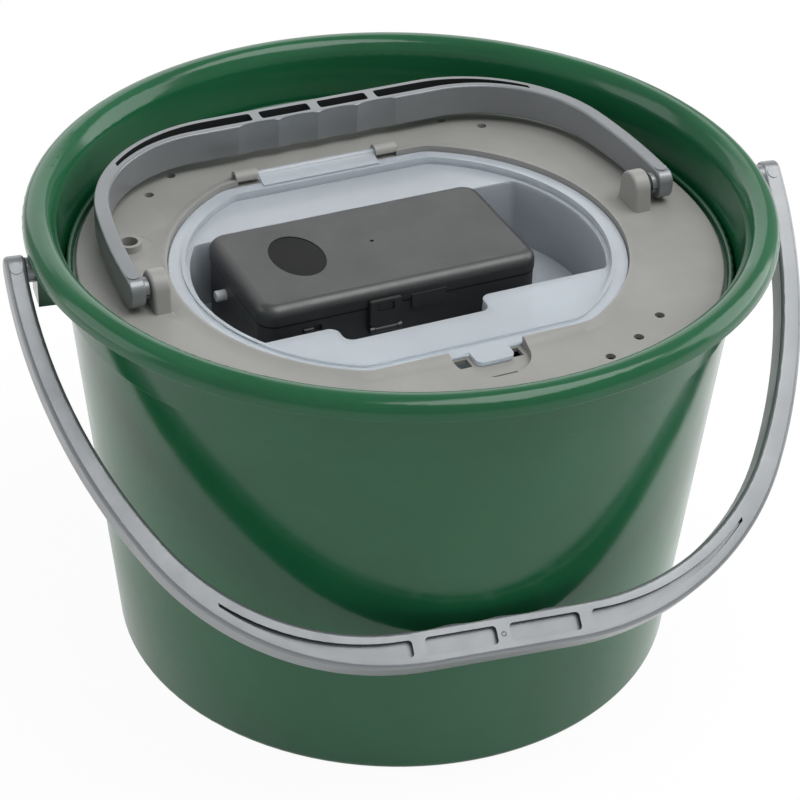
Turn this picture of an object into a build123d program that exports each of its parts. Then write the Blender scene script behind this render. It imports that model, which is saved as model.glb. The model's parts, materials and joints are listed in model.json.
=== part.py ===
from build123d import *
from dataclasses import dataclass
from math import cos, radians, sin
import os

# An aerated bait bucket: a pail with a carrying bail, a strainer basket that hangs in it, a lid with
# its own bail, and a hinged tray in the lid that holds a battery air pump.
# Millimetres. The origin is the centre of the base, +Z is up and the front is -Y.

# ---------------------------------------------------------------------------------------------------
# Driving dimensions
# ---------------------------------------------------------------------------------------------------

# outer bucket
base_radius = 131.0
base_corner = 4.0
base_pad_radius = 28.0
recess_radius = 118.0
recess_height = 3.0
shoulder_radius = 148.1
shoulder_drop = 36.0
collar_radius = 149.7
bucket_wall = 2.2
bucket_height = 219.0
rim_radius = 165.0
rim_skirt = 8.8
rim_slope_width = 4.2
rim_slope_height = 6.5
rim_width = 10.4
rim_corner = 6.2
rim_inner_corner = 6.0
floor_corner = 5.0

# lugs for the outer bail, turned a little from the lid's hinge line
bail_turn = -7.9
lug_span = 325.0
lug_width = 16.0
lug_drop = 14.2
lug_root = 22.0
bail_axis_drop = 15.0
bail_axle_radius = 2.5
axle_clearance = 0.08
lug_hole_depth = 12.0

# strainer basket
basket_fit = 0.3
basket_ring_width = 2.5
basket_ring_height = 9.2
basket_seat_gap = 0.2
basket_ledge_width = 4.4
basket_ledge_height = 3.2
basket_top_radius = 143.5
basket_bottom_radius = 124.0
basket_bottom_height = 10.0
basket_wall = 1.8
slot_count = 20
slot_width = 6.0
slot_length = 34.0
slot_rows = (34.0, 84.0)
drain_radius = 3.0
drain_rings = ((30.0, 6), (58.0, 12), (86.0, 18), (110.0, 24))

# lid
lid_radius = 143.2
lid_plate = 2.2
lid_seat_gap = 0.1
lid_skirt_gap = 0.6
lid_skirt_wall = 1.9
lid_skirt_depth = 6.0
vent_radius = 2.2
vent_circle = 122.5
vent_pitch = 9.5
vent_starts = (-68.9, 47.1, 116.7)
vents_per_group = 3
hose_port = (-111.4, 44.0)
hose_port_radius = 3.9
hose_collar_radius = 5.75
hose_collar_height = 3.3

# opening of the lid and the tray that fills it
tray_centre = (-3.0, -5.2)
tray_half_length = 102.0
tray_half_depth = 83.3
tray_end_radius = 93.0
tray_corner = 18.0
tray_fit = 0.6
tray_flange = 1.8
tray_flange_drop = 0.7
tray_rim_width = 7.2
tray_bead = 0.9
tray_bead_width = 1.6
tray_shelf_drop = 2.8
tray_shell = 1.6
ledge_width = 4.0
ledge_plate = 2.0
frame_wall = 2.2
crest_height = 2.0
crest_foot = 6.2
crest_top = 1.9

# well for the pump
well_depth = 31.0
well_draft = 2.0
well_back = 41.0
well_front = -45.5
well_bay_front = -57.3
well_bay = (-50.5, 17.0)
well_end_inset = 2.0
well_corner = 4.5

# hinge rod of the tray and the clips of the lid that hold it
rod_radius = 1.9
rod_y = 82.4
rod_rise = 1.5
rod_overhang = -1.0
clip_centre = -6.7
clip_spacing = 70.0
clip_width = 11.0
clip_wall = 1.6
clip_foot = 3.6
clip_root = 0.5
trough_depth = 1.0
hinge_gap = 0.5
strip_reach = 4.2
strip_root = 0.3

# tongue of the tray and the latch recess of the lid
tongue_centre = 0.2
tongue_width = 17.4
tongue_reach = 9.0
tongue_root = 4.0
tongue_corner = 3.5
recess_centre = -1.45
recess_width = 34.3
recess_reach = 22.3
recess_drop = 2.9
recess_plate = 1.8
window_size = (6.0, 6.0)
window_offset = 11.8
slot_line = (13.6, 1.0, 0.6)
slot_line_reach = 17.3

# bosses of the lid for its bail
boss_outer = 119.5
boss_width = 8.0
boss_y = -4.6
boss_radius = 7.7
boss_base = 18.0
boss_round = 1.4
lid_bail_rise = 9.0
boss_hole_depth = 7.0


@dataclass
class BailShape:
    """Sizes of one moulded strap handle, measured from its pivot axis."""

    end_span: float        # centre to centre of the two ends
    arm_width: float       # strap width at the ends
    grip_width: float      # strap width at the grip
    reach_share: float     # from the axis to the middle of the grip, as a share of the span
    arm_share_outer: float # radius of an arm's outer edge, as a share of the span
    arm_share_inner: float # radius of its inner edge
    arm_turn_outer: float  # degrees that the outer edge of an arm turns
    arm_turn_inner: float  # degrees that the inner edge turns
    front: float           # front face in front of the axis
    end_back: float        # back face behind the axis at the ends
    grip_back: float       # back face behind the axis at the grip
    end_reach: float       # how far the ends run past the axis
    end_corner: float
    edge_round: float
    collar_radius: float
    collar_length: float
    axle_length: float
    pocket_arm: float      # width that the grip pockets taper to along the arms
    pocket_grip: float     # width of the pockets at the grip
    pocket_depth: float
    pocket_corner: float
    pocket_windows: tuple  # from and to along the axis, for the pockets of one side
    finger_depth: float
    finger_radius: float
    finger_pitch: float

    @property
    def reach(self):
        return self.end_span * self.reach_share

    @property
    def outer_arm(self):
        return self.end_span * self.arm_share_outer, self.arm_turn_outer

    @property
    def inner_arm(self):
        return self.end_span * self.arm_share_inner, self.arm_turn_inner

    @property
    def middle_arm(self):
        return tuple(sum(pair) / 2 for pair in zip(self.outer_arm, self.inner_arm))


outer_arm_width = 8.8
outer_collar_length = 3.2
outer_collar_gap = 0.1
outer_collar_play = 6.1
outer_bail_shape = BailShape(
    end_span=lug_span + outer_arm_width + 2 * outer_collar_length + outer_collar_gap + outer_collar_play,
    arm_width=outer_arm_width, grip_width=16.0, reach_share=0.54656, arm_share_outer=0.765,
    arm_share_inner=0.715, arm_turn_outer=31.0, arm_turn_inner=31.0, front=4.0, end_back=10.0,
    grip_back=10.5, end_reach=7.5, end_corner=6.0, edge_round=1.8,
    collar_radius=5.4, collar_length=outer_collar_length, axle_length=11.5,
    pocket_arm=0.8, pocket_grip=8.0, pocket_depth=3.0, pocket_corner=1.8,
    pocket_windows=((2.9, 34.0), (39.6, 116.0)),
    finger_depth=1.0, finger_radius=45.0, finger_pitch=22.0)
outer_bail_drop = 38.0
outer_bail_shift = (outer_collar_play - outer_collar_gap) / 2
wall_rest_gap = 0.6

lid_arm_width = 7.0
lid_collar_length = 2.4
lid_collar_gap = 0.4
lid_collar_play = 2.4
lid_bail_shape = BailShape(
    end_span=2 * (boss_outer + lid_collar_length) + lid_arm_width + lid_collar_gap + lid_collar_play,
    arm_width=lid_arm_width, grip_width=12.5, reach_share=0.42666, arm_share_outer=1.183,
    arm_share_inner=1.183, arm_turn_outer=10.6, arm_turn_inner=10.6, front=7.0, end_back=7.0,
    grip_back=9.0, end_reach=6.8, end_corner=5.5, edge_round=1.0,
    collar_radius=4.8, collar_length=lid_collar_length, axle_length=6.0,
    pocket_arm=0.8, pocket_grip=6.4, pocket_depth=8.0, pocket_corner=1.4,
    pocket_windows=((2.4, 27.0), (31.5, 104.0)),
    finger_depth=1.3, finger_radius=40.0, finger_pitch=20.0)
lid_bail_rise_angle = 2.3
lid_bail_shift = (lid_collar_play - lid_collar_gap) / 2
mark_radius = 2.7
mark_height = 0.4
mark_reach = 0.3

# air pump
pump_length = 132.0
pump_depth = 71.0
pump_height = 37.4
pump_centre = (-13.0, 2.0)
pump_seat_gap = 0.3
pump_corner = 8.5
pump_inner_corner = 5.0
pump_wall = 1.5
case_inset = 0.4
case_height = 27.7
case_bottom_corner = 2.5
seal_height = 1.1
seal_gap = 0.05
cover_top_corner = 5.0
pump_hinge_radius = 1.3
pump_hinge_pin = 0.6
pump_hinge_set = 1.6
pump_hinge_rise = 0.3
web_height = 2.4
knuckle_length = 16.0
knuckle_offset = 38.0
knuckle_gap = 0.3

# battery bay
cell_radius = 16.6
cell_length = 59.4
cell_nub_radius = 4.75
cell_nub_length = 1.5
cell_gap = 0.4
divider_x = -17.0
contact_plate = 0.4
contact_pad = 1.7
contact_height = 14.0
contact_gap = 0.05
leaf_thickness = 0.35
leaf_width = 8.0

# drive
motor_x = -36.0
motor_height_in_case = 20.7
motor_radius = 12.0
motor_length = 30.0
motor_front = 8.0
shaft_radius = 1.0
eccentric_radius = 4.0
throw = 1.0
yoke_thickness = 3.6
yoke_wall = 2.0
running_gap = 0.3
drive_rod_radius = 1.7
diaphragm_thickness = 1.0
head_length = 14.0
head_width = 24.0
head_left = -71.0
chamber_radius = 10.1
diaphragm_radius = 9.7
drive_y = 12.0

# front latch, switch and lift tab
latch_centre = -22.7
latch_width = 14.8
latch_height = 16.1
latch_plate = 2.0
lift_tab_centre = -1.6
lift_tab_size = (16.3, 6.8)
tab_thickness = 0.8
switch_x = -56.0
switch_travel = 4.0

# air nipple
nipple_radius = 2.45
nipple_bore = 1.1
nipple_length = 4.4
nipple_hole_gap = 0.05
nipple_flange = 1.0
nipple_flange_radius = 4.2
nipple_spigot = 1.8
tube_wall = 1.1

# ---------------------------------------------------------------------------------------------------
# Derived places
# ---------------------------------------------------------------------------------------------------

shoulder_height = bucket_height - shoulder_drop
bail_axis_height = bucket_height - bail_axis_drop
lug_bottom = bail_axis_height - lug_drop
basket_ring_top = shoulder_height + basket_seat_gap + basket_ring_height
lid_plane_top = basket_ring_top - basket_ledge_height + lid_seat_gap + lid_plate
tray_top = lid_plane_top - tray_flange_drop
tray_seat = tray_top - tray_flange
shelf_top = tray_top - tray_shelf_drop
well_floor = shelf_top - well_depth
rod_z = lid_plane_top + rod_rise
lid_bail_z = lid_plane_top + lid_bail_rise
tray_back = tray_centre[1] + tray_half_depth
tray_front = tray_centre[1] - tray_half_depth

pump_bottom = well_floor + pump_seat_gap
case_top = pump_bottom + case_height
cover_bottom = case_top + seal_height + 2 * seal_gap
pump_top = pump_bottom + pump_height
pump_left = pump_centre[0] - pump_length / 2
pump_right = pump_centre[0] + pump_length / 2
pump_front = pump_centre[1] - pump_depth / 2
pump_back = pump_centre[1] + pump_depth / 2
case_left = pump_left + case_inset
case_right = pump_right - case_inset
case_front = pump_front + case_inset
case_floor = pump_bottom + pump_wall
cell_axis_z = case_floor + 0.2 + cell_radius
cell_offset = cell_radius + cell_gap / 2
motor_z = pump_bottom + motor_height_in_case
inner_left = case_left + pump_wall
inner_right = case_right - pump_wall


def axis_direction(turn):
    """Unit vector in the XY plane, turned from +X by an angle in degrees."""
    return Vector(cos(radians(turn)), sin(radians(turn)), 0)


def facing_right(x, y, z):
    """Plane square to X: its x runs along +Y and its y along +Z, and it extrudes towards +X."""
    return Plane((x, y, z), x_dir=(0, 1, 0), z_dir=(1, 0, 0))


def facing_front(x, y, z):
    """Plane square to Y: its x runs along +X and its y along +Z, and it extrudes towards -Y."""
    return Plane((x, y, z), x_dir=(1, 0, 0), z_dir=(0, -1, 0))


def write(part, name):
    """Label a finished piece and write it under its own name."""
    part.label = name
    export_step(part, f"parts/{name}.step")


os.makedirs("parts", exist_ok=True)


# ---------------------------------------------------------------------------------------------------
# Outer bucket
# ---------------------------------------------------------------------------------------------------

lug_direction = axis_direction(bail_turn)
collar_top = bucket_height - rim_slope_height
inner_shoulder = shoulder_radius - bucket_wall
inner_collar = collar_radius - bucket_wall
inner_base = base_radius - bucket_wall
rim_underside = bucket_height - bucket_wall
rim_crest_radius = rim_radius - rim_width
collar_inner_top = rim_crest_radius - rim_slope_width
slope_share = (rim_underside - collar_top + 1.2) / rim_slope_height

outer_wall = [
    ((0, 0), 0),
    ((base_pad_radius, 0), 1),
    ((base_pad_radius + recess_height / 2, recess_height), 1),
    ((recess_radius, recess_height), 1),
    ((recess_radius + recess_height / 2, 0), 1),
    ((base_radius, 0), base_corner),
    ((shoulder_radius, shoulder_height), 0.4),
    ((collar_radius, shoulder_height + 0.8), 0.4),
    ((collar_inner_top + bucket_wall * 0.85, collar_top - 1.2), 3),
    ((collar_inner_top + bucket_wall * 0.85 + rim_slope_width * slope_share, rim_underside), 1),
    ((rim_radius - bucket_wall, rim_underside), 4),
    ((rim_radius - bucket_wall, bucket_height - rim_skirt), 0.6),
    ((rim_radius, bucket_height - rim_skirt), 0.8),
    ((rim_radius, bucket_height), rim_corner),
    ((0, bucket_height), 0),
]
inner_wall = [
    ((0, bucket_height + 1), 0),
    ((rim_crest_radius + 1, bucket_height + 1), 0),
    ((rim_crest_radius + 1, bucket_height), 0),
    ((rim_crest_radius, bucket_height), 0),
    ((collar_inner_top, collar_top), 9),
    ((inner_collar, shoulder_height), 0.3),
    ((inner_shoulder, shoulder_height), 0.5),
    ((inner_base, recess_height + bucket_wall), floor_corner),
    ((0, recess_height + bucket_wall), 0),
]


def turned_profile(corners):
    """Closed half section in the XZ plane, from (point, corner radius) pairs."""
    with BuildSketch(Plane.XZ) as section:
        with BuildLine():
            FilletPolyline(*[point for point, _ in corners], radius=[r for _, r in corners], close=True)
        make_face()
    return section.sketch


with BuildPart() as outer_bucket:
    revolve(turned_profile(outer_wall), axis=Axis.Z)
    with BuildSketch(Plane((0, 0, lug_bottom), x_dir=lug_direction, z_dir=(0, 0, 1))):
        with GridLocations(lug_span - lug_root, 0, 2, 1):
            Rectangle(lug_root, lug_width)
    extrude(amount=rim_underside + 0.5 - lug_bottom)
    revolve(turned_profile(inner_wall), axis=Axis.Z, mode=Mode.SUBTRACT)
    for side in (1, -1):
        mouth = lug_direction * (side * lug_span / 2) + Vector(0, 0, bail_axis_height)
        with BuildSketch(Plane(mouth, z_dir=lug_direction * side)):
            Circle(bail_axle_radius + axle_clearance)
        extrude(amount=-lug_hole_depth, mode=Mode.SUBTRACT)
    top_circles = outer_bucket.edges().filter_by(GeomType.CIRCLE).group_by(Axis.Z)[-1]
    fillet(top_circles.sort_by(SortBy.RADIUS)[0], radius=rim_inner_corner)

write(outer_bucket.part, "outer_bucket")


# ---------------------------------------------------------------------------------------------------
# Bails
# ---------------------------------------------------------------------------------------------------

def bail_outline(half_span, reach, arm, back):
    """U-shaped region inside one edge of a strap: two bent arms, two corners and a straight grip."""
    arm_radius, arm_turn = arm
    turn_share = sin(radians(arm_turn))
    corner_radius = (reach - arm_radius * turn_share) / (1 - turn_share)
    with BuildSketch(Plane.XY) as region:
        with BuildLine():
            end = Line((half_span, back), (half_span, 0))
            bend = JernArc(end @ 1, (0, -1), arm_radius, -arm_turn)
            corner = JernArc(bend @ 1, bend % 1, corner_radius, arm_turn - 90)
            Line(corner @ 1, (0, -reach))
            mirror(about=Plane.YZ)
            Line((half_span, back), (-half_span, back))
        make_face()
    return region.sketch


def bail_strap(shape, arm_width, grip_width, outer_arm, inner_arm):
    """Flat strap on the bail's line, with its own width along the arms and at the grip."""
    outer_half = (shape.end_span + arm_width) / 2
    inner_half = (shape.end_span - arm_width) / 2
    outer_reach = shape.reach + grip_width / 2
    inner_reach = shape.reach - grip_width / 2
    outer = bail_outline(outer_half, outer_reach, outer_arm, 20)
    inner = bail_outline(inner_half, inner_reach, inner_arm, 21)
    return outer - inner


def build_bail(frame, shape):
    """Strap handle in a frame whose x is the pivot axis, -y the reach and z the front face's normal."""
    strap = frame * bail_strap(shape, shape.arm_width, shape.grip_width, shape.outer_arm, shape.inner_arm)
    far = shape.reach + shape.grip_width
    side_plane = Plane(frame.origin, x_dir=-frame.y_dir, z_dir=-frame.x_dir)
    with BuildPart() as bail:
        extrude(strap, amount=40, both=True)
        with BuildSketch(side_plane):
            with BuildLine():
                FilletPolyline(
                    (-shape.end_reach, shape.front), (-shape.end_reach, -shape.end_back),
                    (shape.end_corner * 2, -shape.end_back), (far, -shape.grip_back), (far, shape.front),
                    radius=(shape.end_corner, shape.end_corner, 1, 0, 0), close=True)
            make_face()
        extrude(amount=shape.end_span, both=True, mode=Mode.INTERSECT)
        long_edges = bail.edges().filter_by(lambda edge: edge.length > shape.arm_width * 1.5)
        fillet(long_edges, radius=shape.edge_round)
        fingers = [(k - 1.5) * shape.finger_pitch for k in range(4)]
        scallop_y = -(shape.reach - shape.grip_width / 2) + shape.finger_radius - shape.finger_depth
        with BuildSketch(frame.offset(-shape.grip_back - 1)):
            with Locations(*[(x, scallop_y) for x in fingers]):
                Circle(shape.finger_radius)
            with Locations((0, scallop_y + shape.finger_radius)):
                Rectangle(shape.end_span, 2 * shape.finger_radius - 1.5, mode=Mode.SUBTRACT)
        extrude(amount=shape.grip_back + shape.front + 2, mode=Mode.SUBTRACT)
        windows = [(side * (a + b) / 2, b - a) for a, b in shape.pocket_windows for side in (1, -1)]
        rib_reach = shape.pocket_windows[1][0] + 1
        with BuildSketch(frame.offset(shape.front - shape.pocket_depth)) as pockets:
            add(bail_strap(shape, shape.pocket_arm, shape.pocket_grip, shape.middle_arm, shape.middle_arm))
            with BuildSketch(mode=Mode.INTERSECT):
                for centre, width in windows:
                    with Locations((centre, -shape.reach / 2)):
                        Rectangle(width, shape.reach * 1.2)
            rib_lines = [edge for edge in pockets.edges() if abs(edge.tangent_at(0).Y) > 0.999]
            corners = [v for edge in rib_lines for v in edge.vertices() if abs(v.X) < rib_reach]
            fillet(corners, shape.pocket_corner)
        extrude(amount=shape.pocket_depth + 1, mode=Mode.SUBTRACT)
        inner_half = (shape.end_span - shape.arm_width) / 2
        for side in (1, -1):
            root = frame.origin + frame.x_dir * (side * inner_half)
            with BuildSketch(Plane(root, z_dir=frame.x_dir * -side)):
                Circle(shape.collar_radius)
            extrude(amount=shape.collar_length)
            with BuildSketch(Plane(root, z_dir=frame.x_dir * -side)):
                Circle(bail_axle_radius)
            extrude(amount=shape.collar_length + shape.axle_length)
        with BuildSketch(frame.offset(shape.front)):
            with Locations((-shape.end_span / 2, -mark_reach), (shape.end_span / 2, -mark_reach)):
                Circle(mark_radius)
        extrude(amount=mark_height)
    return bail.part


outer_axis = lug_direction * outer_bail_shift + Vector(0, 0, bail_axis_height)
across = axis_direction(bail_turn + 90)
drop = radians(outer_bail_drop)
outer_face = across * -sin(drop) + Vector(0, 0, cos(drop))

with BuildPart() as outer_bail:
    add(build_bail(Plane(outer_axis, x_dir=lug_direction, z_dir=outer_face), outer_bail_shape))
    # the grip's back is relieved where it lies against the tapered wall
    revolve(turned_profile([
        ((0, 0), 0),
        ((base_radius + wall_rest_gap, 0), 0),
        ((shoulder_radius + wall_rest_gap, shoulder_height), 0),
        ((0, shoulder_height), 0),
    ]), axis=Axis.Z, mode=Mode.SUBTRACT)

write(outer_bail.part, "outer_bail")

rise = radians(lid_bail_rise_angle)
lid_bail_frame = Plane(
    (lid_bail_shift, boss_y, lid_bail_z), x_dir=(-1, 0, 0), z_dir=(0, -sin(rise), cos(rise)))
lid_bail = build_bail(lid_bail_frame, lid_bail_shape)
write(lid_bail, "lid_bail")


# ---------------------------------------------------------------------------------------------------
# Strainer basket
# ---------------------------------------------------------------------------------------------------

ring_outer = inner_collar - basket_fit
ring_inner = ring_outer - basket_ring_width
ring_bottom = shoulder_height + basket_seat_gap
ledge_top = basket_ring_top - basket_ledge_height
ledge_inner = ring_inner - basket_ledge_width
basket_profile = [
    ((0, basket_bottom_height), 0),
    ((basket_bottom_radius, basket_bottom_height), 3),
    ((basket_top_radius, ring_bottom - 3), 1),
    ((basket_top_radius, ring_bottom), 0),
    ((ring_outer, ring_bottom), 0.3),
    ((ring_outer, basket_ring_top), 1.1),
    ((ring_inner, basket_ring_top), 1.1),
    ((ring_inner, ledge_top), 0.3),
    ((ledge_inner, ledge_top), 0.3),
    ((ledge_inner, ledge_top - 1.6), 0),
    ((basket_top_radius - basket_wall, ring_bottom - 3), 1),
    ((basket_bottom_radius - basket_wall, basket_bottom_height + basket_wall), 2),
    ((0, basket_bottom_height + basket_wall), 0),
]

with BuildPart() as strainer_basket:
    revolve(turned_profile(basket_profile), axis=Axis.Z)
    for row in slot_rows:
        with BuildPart(Plane.XY.offset(row + slot_length / 2), mode=Mode.PRIVATE) as slots:
            with PolarLocations((basket_bottom_radius + basket_top_radius) / 2, slot_count):
                Box(60, slot_width, slot_length)
        add(slots.part, mode=Mode.SUBTRACT)
    with BuildSketch(Plane.XY.offset(basket_bottom_height - 1)):
        Circle(drain_radius)
        for ring_radius, ring_count in drain_rings:
            with PolarLocations(ring_radius, ring_count):
                Circle(drain_radius)
    extrude(amount=basket_wall + 2, mode=Mode.SUBTRACT)

write(strainer_basket.part, "strainer_basket")


# ---------------------------------------------------------------------------------------------------
# Lid
# ---------------------------------------------------------------------------------------------------

def tray_outline(offset_out, height):
    """The tray's outline, moved outwards: two end arcs, straight front and back, four soft corners."""
    with BuildSketch(Plane((*tray_centre, height))) as outline:
        half_length = tray_half_length + offset_out
        half_depth = tray_half_depth + offset_out
        SlotCenterToCenter(2 * (tray_half_length - tray_end_radius), 2 * (tray_end_radius + offset_out))
        Rectangle(2 * half_length, 2 * half_depth, mode=Mode.INTERSECT)
        corners = outline.vertices().filter_by(lambda v: abs(abs(v.Y) - half_depth) < 0.01)
        fillet(corners, tray_corner + offset_out)
    return outline.sketch


def latch_recess(offset_out, height):
    """D-shaped recess in front of the opening, round at the front."""
    radius = recess_width / 2 + offset_out
    straight = recess_reach - recess_width / 2
    with BuildSketch(Plane((recess_centre, tray_front - straight, height))) as shape:
        Circle(radius)
        with Locations((0, (straight + 3) / 2)):
            Rectangle(2 * radius, straight + 3)
        with Locations((0, straight + 3 + radius)):
            Rectangle(3 * radius, 2 * radius, mode=Mode.SUBTRACT)
    return shape.sketch


lid_under = lid_plane_top - lid_plate
skirt_outer = ledge_inner - lid_skirt_gap
lid_profile = [
    ((0, lid_under), 0),
    ((skirt_outer - lid_skirt_wall, lid_under), 0),
    ((skirt_outer - lid_skirt_wall, lid_under - lid_skirt_depth), 0.5),
    ((skirt_outer, lid_under - lid_skirt_depth), 0.5),
    ((skirt_outer, lid_under), 0.4),
    ((lid_radius, lid_under), 0.5),
    ((lid_radius, lid_plane_top), 0.9),
    ((0, lid_plane_top), 0),
]
opening_seat = tray_seat - 0.1
recess_floor = lid_plane_top - recess_drop
clip_places = (clip_centre - clip_spacing / 2, clip_centre + clip_spacing / 2)
trough_length = clip_spacing + clip_width + 2 * (rod_overhang + hinge_gap)
clip_radius = rod_radius + axle_clearance + clip_wall
clip_drop = rod_rise + trough_depth + clip_root
window_y = tray_front - window_size[1] / 2 - 1.0

with BuildPart() as lid:
    revolve(turned_profile(lid_profile), axis=Axis.Z)
    # the frame under the opening, its raised crest and the plate under the latch recess
    frame_bottom = opening_seat - ledge_plate
    extrude(tray_outline(tray_fit + frame_wall, frame_bottom), amount=ledge_plate + lid_plate)
    crest_rows = (
        tray_outline(tray_fit + crest_foot, lid_plane_top),
        tray_outline(tray_fit + crest_top, lid_plane_top + crest_height),
    )
    loft(crest_rows, ruled=True)
    extrude(latch_recess(recess_plate, recess_floor - recess_plate), amount=recess_plate + 1.5)
    # the opening, stepped so that the tray's flange rests on a ledge
    extrude(tray_outline(tray_fit, opening_seat), amount=20, mode=Mode.SUBTRACT)
    extrude(tray_outline(-ledge_width, opening_seat - 10), amount=20, mode=Mode.SUBTRACT)
    extrude(latch_recess(0, recess_floor), amount=20, mode=Mode.SUBTRACT)
    # windows beside the tongue and the slot line in front of it
    with BuildSketch(Plane.XY.offset(recess_floor - 5)):
        with Locations((recess_centre, window_y)):
            with GridLocations(2 * window_offset, 0, 2, 1):
                Rectangle(*window_size)
    extrude(amount=10, mode=Mode.SUBTRACT)
    with BuildSketch(Plane((recess_centre, tray_front - slot_line_reach, recess_floor))):
        Rectangle(slot_line[0], slot_line[1])
    extrude(amount=-slot_line[2], mode=Mode.SUBTRACT)
    # trough under the tray's hinge rod
    with BuildSketch(Plane((clip_centre, rod_y, lid_plane_top - trough_depth))):
        Rectangle(trough_length, 2 * (clip_radius + 1.2))
    extrude(amount=10, mode=Mode.SUBTRACT)
    for clip_x in clip_places:
        with BuildSketch(facing_right(clip_x - clip_width / 2, rod_y, rod_z)):
            Circle(clip_radius)
            with Locations((clip_foot / 2, -clip_drop / 2)):
                Rectangle(clip_foot, clip_drop)
            with Locations((-clip_radius, -clip_radius)):
                Rectangle(2 * clip_radius, 2 * clip_radius, mode=Mode.SUBTRACT)
            with Locations((clip_radius, -clip_radius - clip_drop)):
                Rectangle(2 * clip_radius, 2 * clip_radius, mode=Mode.SUBTRACT)
            Circle(rod_radius + axle_clearance, mode=Mode.SUBTRACT)
        extrude(amount=clip_width)
    # bosses for the lid bail
    for side in (1, -1):
        boss_inner = boss_outer - boss_width
        start = boss_inner if side > 0 else -boss_outer
        with BuildPart(mode=Mode.PRIVATE) as boss:
            with BuildSketch(facing_right(start, boss_y, lid_bail_z)):
                Circle(boss_radius)
                with Locations((0, -lid_bail_rise - 0.5)):
                    Rectangle(boss_base, 1)
                make_hull()
            extrude(amount=boss_width)
            rims = boss.edges().filter_by(lambda edge: abs(edge.tangent_at(0).X) < 0.5)
            fillet(rims.filter_by(lambda edge: edge.center().Z > lid_plane_top + 2), boss_round)
        add(boss.part)
        with BuildSketch(Plane((side * boss_outer, boss_y, lid_bail_z), z_dir=(side, 0, 0))):
            Circle(bail_axle_radius + axle_clearance)
        extrude(amount=-boss_hole_depth, mode=Mode.SUBTRACT)
    # hose port and vents
    with BuildSketch(Plane((*hose_port, lid_under))):
        Circle(hose_collar_radius)
    extrude(amount=lid_plate + hose_collar_height)
    with BuildSketch(Plane.XY.offset(lid_under - 1)):
        with Locations(hose_port):
            Circle(hose_port_radius)
        for start in vent_starts:
            with PolarLocations(vent_circle, vents_per_group, start, vent_pitch * vents_per_group):
                Circle(vent_radius)
    extrude(amount=lid_plate + hose_collar_height + 2, mode=Mode.SUBTRACT)

write(lid.part, "lid")


# ---------------------------------------------------------------------------------------------------
# Hatch tray
# ---------------------------------------------------------------------------------------------------

def well_outline(offset_out, height):
    """The well: the tray's ends, a straight back, and a front with a finger bay for the pump's latch."""
    with BuildSketch(Plane.XY.offset(height)) as outline:
        add(tray_outline(-tray_rim_width - well_end_inset + offset_out, 0))
        with BuildSketch(mode=Mode.INTERSECT):
            middle = (well_back + well_front) / 2
            with Locations((0, middle)):
                Rectangle(4 * tray_half_length, well_back - well_front + 2 * offset_out)
            bay_depth = well_back - well_bay_front
            with Locations(((well_bay[0] + well_bay[1]) / 2, well_back - bay_depth / 2)):
                Rectangle(well_bay[1] - well_bay[0] + 2 * offset_out, bay_depth + 2 * offset_out)
        fillet(outline.vertices(), well_corner)
    return outline.sketch


rod_length = clip_spacing + clip_width + 2 * rod_overhang
strip_from = clip_places[0] + clip_width / 2 + hinge_gap
strip_to = clip_places[1] - clip_width / 2 - hinge_gap
bead_outer = -tray_rim_width + tray_bead_width

with BuildPart() as hatch_tray:
    extrude(tray_outline(0, tray_seat), amount=tray_flange)
    extrude(tray_outline(bead_outer, tray_seat), amount=tray_flange + tray_bead)
    extrude(tray_outline(-tray_rim_width + tray_shell, shelf_top - tray_shell), amount=tray_shelf_drop)
    shell_top = shelf_top - 0.5
    shell_drop = well_floor - tray_shell - shell_top
    extrude(well_outline(tray_shell, shell_top), amount=shell_drop, taper=well_draft)
    extrude(tray_outline(-tray_rim_width, shelf_top), amount=20, mode=Mode.SUBTRACT)
    extrude(well_outline(0, shelf_top), amount=-well_depth, taper=well_draft, mode=Mode.SUBTRACT)
    # tongue at the front
    with BuildSketch(Plane((tongue_centre, tray_front, tray_seat))):
        with Locations((0, (tongue_root - tongue_reach) / 2)):
            RectangleRounded(tongue_width, tongue_reach + tongue_root, tongue_corner)
    extrude(amount=tray_flange)
    # hinge rod and the strip that carries it between the two clips
    with BuildSketch(facing_right(clip_centre - rod_length / 2, rod_y, rod_z)):
        Circle(rod_radius)
    extrude(amount=rod_length)
    with BuildSketch(facing_right(strip_from, 0, 0)):
        with BuildLine():
            Polyline(
                (tray_back - strip_reach, tray_top - strip_root), (tray_back - 0.6, tray_top - strip_root),
                (rod_y - 0.4, rod_z - 1.6), (rod_y - 0.4, rod_z + 1.2),
                (tray_back - 2.4, tray_top + 1.3), (tray_back - strip_reach, tray_top + 0.9), close=True)
        make_face()
    extrude(amount=strip_to - strip_from)

write(hatch_tray.part, "hatch_tray")


# ---------------------------------------------------------------------------------------------------
# Pump case and cover
# ---------------------------------------------------------------------------------------------------

def case_plan(inset, height, corner=None):
    """Rounded plan of the pump's box, moved inwards from the cover's outline."""
    with BuildSketch(Plane((*pump_centre, height))) as plan:
        RectangleRounded(pump_length - 2 * inset, pump_depth - 2 * inset, corner or pump_corner - inset)
    return plan.sketch


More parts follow.
